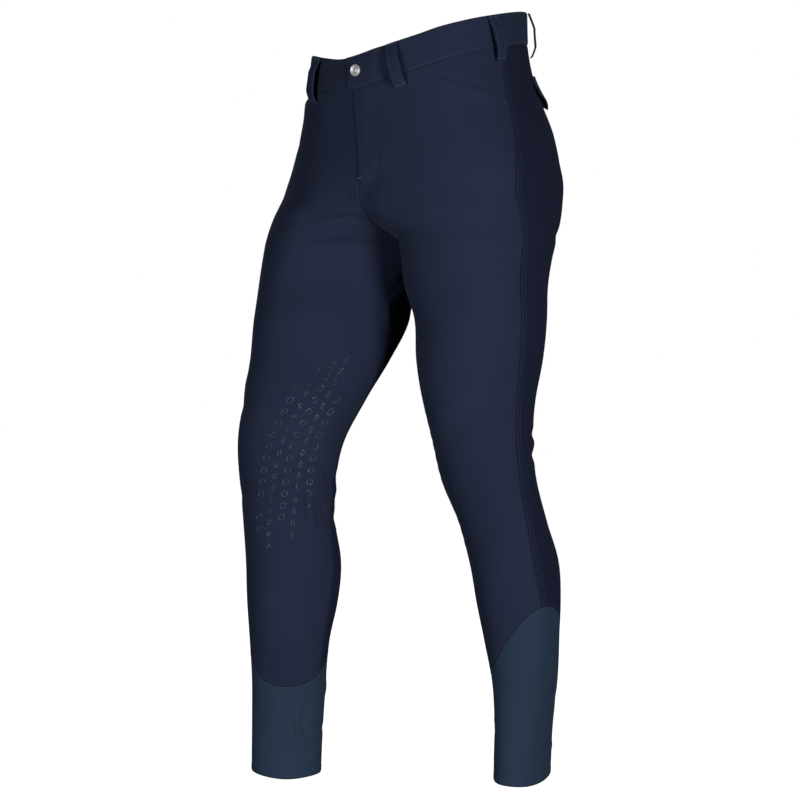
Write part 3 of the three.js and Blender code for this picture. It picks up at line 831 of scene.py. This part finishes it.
def belt_loop(name, side, around):
    share = (1 - np.linspace(0, 1, 61))[:, None]
    across = (eased(14, 0.5)[None, :] - 0.5) * LOOP["width"]
    z, place, under = loop_spot(side, around, across, share)
    rounded = 0.3 * (np.abs(across) / (LOOP["width"] / 2)) ** 6
    dints = groove(LOOP["width"] / 2 - np.abs(across), LOOP["stitch"], 0.3, 0.8)
    line = figure(side, z, place)
    normal = outward(side, z, place)
    outer = line + normal * (under + LOOP["cloth"] - rounded + dints)[..., None]
    inner = line + normal * (under + rounded * 0.5)[..., None]
    return shell(f"cloth_belt_loop_{name}", outer, inner, side, nodes=[f"belt_loop_{name}"])


def flap_spot(side, across, share):
    """Height, angle and lift of a back pocket flap, across from -1 to 1 and share of its drop."""
    drop = FLAP["side"] + FLAP["point"] * (1 - np.abs(across))
    degree = per_degree(side, -60, FLAP["around"])
    around = FLAP["around"] + across * FLAP["width"] / 2 / degree
    z, place = below_waist(side, around, FLAP["below"] + share * drop)
    return z, place, SEAT + FLAP["lift"] * share**1.5


def pocket_flap(name, side):
    across = (eased(72, 0.6)[None, :] - 0.5) * 2
    share = (1 - eased(30, 0.6))[:, None]
    z, place, under = flap_spot(side, across, share)
    edge = np.minimum((1 - np.abs(across)) * FLAP["width"] / 2, (1 - share) * FLAP["side"])
    edge = edge + 0 * share
    lift = under + FLAP["cloth"] + edge_drop(edge, 0.6, 1.0) + groove(edge, 2.0, 0.25, 0.8)
    outer = skin(side, z, place, lift)
    inner = skin(side, z, place, under)
    return shell(name, outer, inner, side, nodes=[name.replace("cloth_", "")])


# The button


def button():
    radius = BUTTON["radius"]
    height = BUTTON["height"]
    profile = [
        (0, 0), (radius - 0.7, 0), (radius - 0.15, 0.25), (radius, 0.8), (radius, height - 0.9),
        (radius - 0.2, height - 0.35), (radius - 0.7, height - 0.05), (radius - 1.2, height - 0.05),
        (radius - 1.6, height - 0.35), (radius - 1.8, height - 0.9), (radius - 2.1, height - 1.05),
        (radius - 2.5, height - 0.95), (radius - 2.8, height - 0.75), (radius - 3.1, height - 0.95),
        (radius * 0.42, height - 1.25), (radius * 0.34, height - 1.2), (radius * 0.29, height - 0.95),
        (radius * 0.2, height - 0.8), (radius * 0.1, height - 0.75), (0, height - 0.74),
    ]
    around = 90 + (BAND_END - BUTTON["from_end"]) / float(per_degree(1, 0, 90))
    z, place = below_waist(1, around, BUTTON["below"])
    normal = outward(1, z, place)
    centre = figure(1, z, place) + normal * (BAND_PROUD + BAND_CLOTH + 2 * GAP + 0.1)
    level = np.cross(normal, [0, 0, 1])
    level /= np.linalg.norm(level)
    up = np.cross(level, normal)
    steps = 64
    points = [centre + normal * profile[0][1]]
    for r, h in profile[1:-1]:
        for k in range(steps):
            t = 2 * math.pi * k / steps
            points.append(centre + normal * h + (level * math.cos(t) + up * math.sin(t)) * r)
    points.append(centre + normal * profile[-1][1])
    faces = []
    rings = len(profile) - 2
    for k in range(steps):
        after = (k + 1) % steps
        faces.append((0, 1 + k, 1 + after))
        for ring in range(rings - 1):
            a = 1 + ring * steps
            faces.append((a + k, a + steps + k, a + steps + after, a + after))
        a = 1 + (rings - 1) * steps
        faces.append((a + k, len(points) - 1, a + after))
    return to_object("button", points, faces, METAL, ["snap_button"], smooth_angle=50)


# Stitching


class Stitches:
    """Collects stitches along lines and joins them into one mesh."""

    def __init__(self):
        self.points = []
        self.faces = []

    def one(self, start, end, normal, width=STITCH["width"], height=STITCH["height"]):
        along = end - start
        across = np.cross(normal, along)
        across = across / np.linalg.norm(across) * width / 2
        first = len(self.points)
        ring = []
        for share, swell in ((0.16, 0.75), (0.5, 1.0), (0.84, 0.75)):
            middle = start + along * share
            ring.append(middle - across * swell)
            ring.append(middle + normal * height * swell)
            ring.append(middle + across * swell)
            ring.append(middle - normal * 0.2)
        self.points += [start - normal * 0.15] + ring + [end - normal * 0.15]
        last = first + 13
        for k in range(4):
            after = (k + 1) % 4
            self.faces.append((first, first + 1 + after, first + 1 + k))
            for step in (0, 4):
                a = first + 1 + step
                self.faces.append((a + k, a + after, a + 4 + after, a + 4 + k))
            self.faces.append((first + 9 + k, first + 9 + after, last))

    def along(self, line, normals, pitch=STITCH["pitch"], length=STITCH["length"], **size):
        """Stitches along a fine line of points."""
        steps = np.linalg.norm(np.diff(line, axis=0), axis=1)
        total = np.concatenate([[0], np.cumsum(steps)])
        count = int(total[-1] / pitch)
        if count < 1:
            return
        pitch = total[-1] / count
        for k in range(count):
            ends = []
            for s in (k * pitch + 0.1 * pitch, k * pitch + 0.1 * pitch + length * pitch / STITCH["pitch"]):
                ends.append(np.array([np.interp(s, total, line[:, n]) for n in range(3)]))
            i = int(np.clip(np.searchsorted(total, (k + 0.5) * pitch), 0, len(line) - 1))
            self.one(ends[0], ends[1], normals[i], **size)

    def make(self, name, material=None):
        return to_object(name, self.points, self.faces, material or THREAD, smooth_angle=60)


def cloth_line(side, z, around, lift, rows=CREASES):
    """Points and normals of a line on the cloth."""
    return skin(side, z, around, lift, rows), outward(side, z, around)


OUTSEAM_LOW = -690


def outseam_line(side, offset):
    """A line beside the outseam, offset to the back where it is below zero."""
    top = float(band_seam(side, 4.5))
    z = np.linspace(OUTSEAM_LOW, top - 0.5, 700)
    seam = CUT.at(z)["seam"]
    around = seam + offset / per_degree(side, z, seam)
    keep = z > cuff_seam(around) + 1
    return z[keep], around[keep]


def stitch_outseams(stitches):
    for side in (1, -1):
        for offset, lift in ((-EDGE_STITCH - GAP / 2, 0.3), (-TWIN_STITCH - GAP / 2, 0.05)):
            z, around = outseam_line(side, offset)
            stitches.along(*cloth_line(side, z, around, lift))


def stitch_cuff_seams(stitches):
    for side in (1, -1):
        around = np.linspace(-180, 180, 500)
        stitches.along(*cloth_line(side, cuff_seam(around) + EDGE_STITCH + 0.6, around, 0.02))


def stitch_pockets(stitches):
    for side in (1, -1):
        for offset in (EDGE_STITCH, EDGE_STITCH + 6.4):
            seam = float(CUT.at(MOUTH_END_Z)["seam"])
            around = np.linspace(seam + 0.7, MOUTH_START + 0.35 * offset, 300)
            edge = mouth(side, np.minimum(around, MOUTH_START))
            slope = np.gradient(edge, around) / per_degree(side, edge, around)
            z = edge - offset * np.sqrt(1 + slope**2)
            z = np.minimum(z, band_seam(side, around) - 1)
            lift = MOUTH_GAPE * mouth_gape(side, z, around) + 0.03
            stitches.along(*cloth_line(side, z, around, lift))


def fly_line(offset):
    """The curved stitching of the fly, offset from the centre, down and round to its foot."""
    top = float(band_seam(1, 80)) - 1.5
    straight = np.linspace(top, FLY_LOW + FLY_CURVE, 120)
    curve = np.linspace(0, np.pi / 2, 80)
    z = np.concatenate([straight, FLY_LOW + FLY_CURVE - (FLY_CURVE - 4) * np.sin(curve)])
    x = np.concatenate([np.full(len(straight), offset), offset * np.cos(curve) ** 0.9 + 0.6])
    return x, z


def at_x(side, x, z):
    """Angles at which the cloth has these distances from the middle plane, near the front."""
    low = np.full(np.shape(z), 20.0)
    high = np.full(np.shape(z), 112.0)
    for _ in range(30):
        middle = (low + high) / 2
        further = figure(side, z, middle)[..., 0] * side > x
        low = np.where(further, middle, low)
        high = np.where(further, high, middle)
    return (low + high) / 2


def stitch_fly(stitches):
    x, z = fly_line(FLY_WIDTH + FLY_STITCH)
    stitches.along(*cloth_line(1, z, at_x(1, x, z), fly_lift(z, x) + 0.05))
    z = np.linspace(FLY_LOW + 26, float(band_seam(1, 92)) - 2, 200)
    around = 90 + (fly_reach(z) - CENTRE_STITCH) / per_degree(1, z, 90)
    stitches.along(*cloth_line(1, z, around, CLOTH + 2 * GAP + 0.02))
    z = np.linspace(CROTCH_Z + 6, FLY_LOW - 2, 160)
    end = panel_end(z, True)
    stitches.along(*cloth_line(1, z, end - CENTRE_STITCH / per_degree(1, z, end), 0.05))
    z = np.linspace(CROTCH_Z + 6, float(band_seam(1, -88)) - 2, 400)
    for offset in (CENTRE_STITCH, 7.5):
        end = panel_end(z, False)
        around = end + offset / per_degree(1, z, end)
        stitches.along(*cloth_line(1, z, around, 0.05))


def stitch_waistband(stitches):
    for side in (1, -1):
        end = 90 + (BAND_END - 2) / float(per_degree(side, 0, 90)) if side > 0 else 79
        around = np.linspace(-89, end, 900)
        for below in (EDGE_STITCH, BAND_HEIGHT - EDGE_STITCH):
            z, place = below_waist(side, around, below)
            x = figure(side, z, place)[..., 0]
            lift = BAND_PROUD + (BAND_CLOTH + GAP) * lap(side, around, x) - 0.1
            stitches.along(*cloth_line(side, z, place, lift))
    around = 90 + (BAND_END - 2) / float(per_degree(1, 0, 90))
    z, place = below_waist(1, np.full(60, around), np.linspace(2, BAND_HEIGHT - 2, 60))
    stitches.along(*cloth_line(1, z, place, BAND_PROUD + BAND_CLOTH + GAP + 0.02))


def stitch_loops(stitches, tacks):
    for side, around in LOOPS.values():
        share = np.linspace(0.03, 0.97, 120)
        for across in (-LOOP["width"] / 2 + LOOP["stitch"], LOOP["width"] / 2 - LOOP["stitch"]):
            z, place, under = loop_spot(side, around, across, share)
            top = under + LOOP["cloth"] - 0.14
            line = figure(side, z, place) + outward(side, z, place) * top[..., None]
            stitches.along(line, outward(side, z, place))
        for share in (0.025, 0.965):
            for k in range(14):
                across = (k / 13 - 0.5) * (LOOP["width"] - 2)
                shares = np.array([share - 0.022, share + 0.022])
                z, place, under = loop_spot(side, around, across, np.clip(shares, 0, 1))
                top = under + LOOP["cloth"] - 0.1
                ends = figure(side, z, place) + outward(side, z, place) * top[..., None]
                tacks.one(ends[0], ends[1], outward(side, z, place)[0], 0.6, 0.4)


def stitch_flaps(stitches):
    for side in (1, -1):
        margin = 2.0 / (FLAP["width"] / 2)
        across = np.concatenate([
            np.full(30, -1 + margin), np.linspace(-1 + margin, 1 - margin, 240), np.full(30, 1 - margin),
        ])
        down = 1 - 2.0 / FLAP["side"]
        share = np.concatenate([np.linspace(0.05, down, 30), np.full(240, down), np.linspace(down, 0.05, 30)])
        z, place, under = flap_spot(side, across, share)
        stitches.along(*cloth_line(side, z, place, under + FLAP["cloth"] - 0.05))
        across = np.linspace(-0.99, 0.99, 240)
        z, place, under = flap_spot(side, across, np.full(240, 0.07))
        stitches.along(*cloth_line(side, z, place, under + FLAP["cloth"] - 0.02))


def stitch_hems(stitches):
    for side in (1, -1):
        around = np.linspace(-180, 180, 400)
        z = hem(side, around) + HEM_TURN
        stitches.along(*cloth_line(side, z, around, -0.1, CUFF_CREASES), pitch=2.6, length=2.1)


def bar_tack(tacks, side, z, around, length, tilt, lift):
    """A dense little row of stitches across a strained point."""
    turn = math.radians(tilt)
    degree = float(per_degree(side, z, around))
    for k in range(9):
        s = (k / 8 - 0.5) * length
        ends = []
        for t in (-1.1, 1.1):
            dz = s * math.sin(turn) + t * math.cos(turn)
            da = (s * math.cos(turn) - t * math.sin(turn)) / degree
            ends.append(skin(side, np.array(z + dz), np.array(around + da), lift))
        tacks.one(ends[0], ends[1], outward(side, np.array(float(z)), np.array(float(around))), 0.8, 0.45)


# The knee grip: staggered rows of small open hexagons with short dashes between them.
GRIP = {"top": -378, "low": -618, "pitch": 14.5, "column": 15.5, "columns": 5, "radius": 3.9, "line": 0.75}
GRIP_MIDDLE = {1: 162, -1: 171}


# From where to where each column of the grip runs, as shares of its height, from the front one on.
GRIP_ROWS = [(0.18, 0.92), (0.0, 1.0), (0.06, 0.9), (0.0, 0.97), (0.2, 0.8)]


def grip_marks(side):
    """Middles of the marks as height, angle, size and kind."""
    marks = []
    rows = int((GRIP["top"] - GRIP["low"]) / GRIP["pitch"])
    for row in range(rows + 1):
        z = GRIP["top"] - row * GRIP["pitch"]
        middle = GRIP_MIDDLE[side]
        degree = float(girth_degree(np.array(z)))
        for column in range(GRIP["columns"]):
            stagger = GRIP["pitch"] / 2 if column % 2 else 0
            offset = (column - (GRIP["columns"] - 1) / 2) * GRIP["column"]
            here = z - stagger
            share = (GRIP["top"] - here) / (GRIP["top"] - GRIP["low"])
            first, last = GRIP_ROWS[column]
            if first <= share <= last:
                marks.append((here, middle + offset / degree, column % 2))
    return marks


def ridge_ring(side, z, around, outline, width, points, faces):
    """A closed outline, in millimetres about a point of the cloth, as a low raised line."""
    degree = float(per_degree(side, z, around))
    outline = np.asarray(outline, float)
    after = np.roll(outline, -1, axis=0)
    before = np.roll(outline, 1, axis=0)
    along = after - before
    across = np.stack([-along[:, 1], along[:, 0]], -1)
    across /= np.linalg.norm(across, axis=1, keepdims=True)
    first = len(points)
    count = len(outline)
    for offset, lift in ((-width / 2, -0.1), (-width / 4, 0.32), (width / 4, 0.32), (width / 2, -0.1)):
        flat = outline + across * offset
        spots = skin(side, z + flat[:, 1], around + flat[:, 0] / degree, lift)
        points.extend(spots)
    for k in range(count):
        after_k = (k + 1) % count
        for ring in range(4):
            a = first + ring * count
            b = first + ((ring + 1) % 4) * count
            faces.append((a + k, a + after_k, b + after_k, b + k))


def hexagon(radius, steps=3):
    corners = [(radius * math.sin(math.pi / 3 * k), radius * math.cos(math.pi / 3 * k)) for k in range(6)]
    outline = []
    for k in range(6):
        a = np.array(corners[k])
        b = np.array(corners[(k + 1) % 6])
        outline += [a + (b - a) * t / steps for t in range(steps)]
    return outline


def capsule(length, radius, steps=4):
    outline = []
    for k in range(steps + 1):
        t = math.pi * k / steps
        outline.append((radius * math.cos(t), length / 2 + radius * math.sin(t)))
    for k in range(steps + 1):
        t = math.pi + math.pi * k / steps
        outline.append((radius * math.cos(t), -length / 2 + radius * math.sin(t)))
    return outline


def grip(side, word):
    points = []
    faces = []
    for z, around, kind in grip_marks(side):
        if kind == 0:
            ridge_ring(side, z, around, hexagon(GRIP["radius"]), GRIP["line"], points, faces)
        else:
            ridge_ring(side, z, around, capsule(4.2, 1.5), GRIP["line"] * 0.9, points, faces)
    return to_object(f"knee_grip_{word}", points, faces, PRINT, smooth_angle=70)


for word, side in (("left", 1), ("right", -1)):
    leg_panel(f"cloth_front_{word}", side, True)
    leg_panel(f"cloth_back_{word}", side, False)
    facing(f"cloth_pocket_facing_{word}", side)
    waistband(f"cloth_waistband_{word}", side)
    cuff(f"cloth_cuff_{word}", side)
    pocket_flap(f"cloth_pocket_flap_{word}", side)
    grip(side, word)
for name, (side, around) in LOOPS.items():
    belt_loop(name, side, around)
button()

thread = Stitches()
tacks = Stitches()
stitch_outseams(thread)
stitch_cuff_seams(thread)
stitch_pockets(thread)
stitch_fly(thread)
stitch_waistband(thread)
stitch_loops(thread, tacks)
stitch_flaps(thread)
stitch_hems(thread)
bar_tack(tacks, 1, FLY_LOW + 2, 89, 6, 0, CLOTH)
for side in (1, -1):
    bar_tack(tacks, side, MOUTH_END_Z - 3, 6, 5, 90, 0.1)
thread.make("topstitching")
tacks.make("bar_tacks", TACK)


# Camera, lights and floor

CAMERA = {"azimuth": 41, "height": -436, "distance": 3500, "aside": -24.8, "lens": 124.0}


def camera():
    turn = math.radians(CAMERA["azimuth"])
    ahead = Vector((-math.sin(turn), math.cos(turn), 0))
    right = Vector((math.cos(turn), math.sin(turn), 0))
    data = bpy.data.cameras.new("camera")
    data.lens = CAMERA["lens"]
    data.sensor_width = 36
    data.clip_end = 100
    eye = bpy.data.objects.new("camera", data)
    bpy.context.collection.objects.link(eye)
    target = right * CAMERA["aside"] * MM + Vector((0, 0, CAMERA["height"] * MM))
    eye.location = target - ahead * CAMERA["distance"] * MM
    eye.rotation_euler = (math.radians(90), 0, turn)
    bpy.context.scene.camera = eye
    return target


def area_light(name, azimuth, elevation, distance, size, power, target):
    """A soft box that looks at the garment."""
    a = math.radians(azimuth)
    e = math.radians(elevation)
    away = Vector((math.sin(a) * math.cos(e), -math.cos(a) * math.cos(e), math.sin(e)))
    data = bpy.data.lights.new(name, "AREA")
    data.shape = "RECTANGLE"
    data.size, data.size_y = size
    data.energy = power
    lamp = bpy.data.objects.new(name, data)
    bpy.context.collection.objects.link(lamp)
    lamp.location = target + away * distance
    lamp.rotation_euler = (-away).to_track_quat("-Z", "Y").to_euler()


def floor():
    reach = 30
    z = (HEM[1]["z"] - HEM[1]["tilt"] - 4) * MM
    mesh = bpy.data.meshes.new("floor")
    corners = [(-reach, -reach, z), (reach, -reach, z), (reach, reach, z), (-reach, reach, z)]
    mesh.from_pydata(corners, [], [(0, 1, 2, 3)])
    ground = bpy.data.objects.new("floor", mesh)
    n = Nodes("floor_paper")
    place = n.add("ShaderNodeTexCoord").outputs["Object"]
    grain = n.add("ShaderNodeTexNoise", {"Vector": place, "Scale": 6, "Detail": 2}).outputs["Fac"]
    n.set(Base_Color=n.ramp(grain, [(0.3, (0.9, 0.9, 0.9)), (0.7, (0.94, 0.94, 0.94))]), Roughness=0.9)
    n.set(Specular_IOR_Level=0.0, Emission_Color=(1, 1, 1, 1), Emission_Strength=1.0)
    mesh.materials.append(n.material)
    bpy.context.collection.objects.link(ground)
    ground.visible_diffuse = False
    ground.visible_glossy = False


def surroundings():
    world = bpy.data.worlds.new("studio")
    world.use_nodes = True
    world.node_tree.nodes["Background"].inputs[0].default_value = (1, 1, 1, 1)
    world.node_tree.nodes["Background"].inputs[1].default_value = 1.0
    world.cycles_visibility.diffuse = False
    world.cycles_visibility.glossy = False
    bpy.context.scene.world = world
    bpy.context.scene.view_settings.view_transform = "Standard"


target = camera()
surroundings()
floor()
area_light("key", 73, -2, 2.7, (0.8, 0.75), 58, target)
area_light("fill", 5, -2, 2.8, (1.0, 0.75), 40, target)
area_light("right", 150, 0, 3.4, (2.0, 0.9), 3, target)
area_light("back", -130, 12, 3.6, (2.6, 1.6), 10, target)
area_light("top", 34, 80, 3.0, (2.4, 2.4), 3, target)
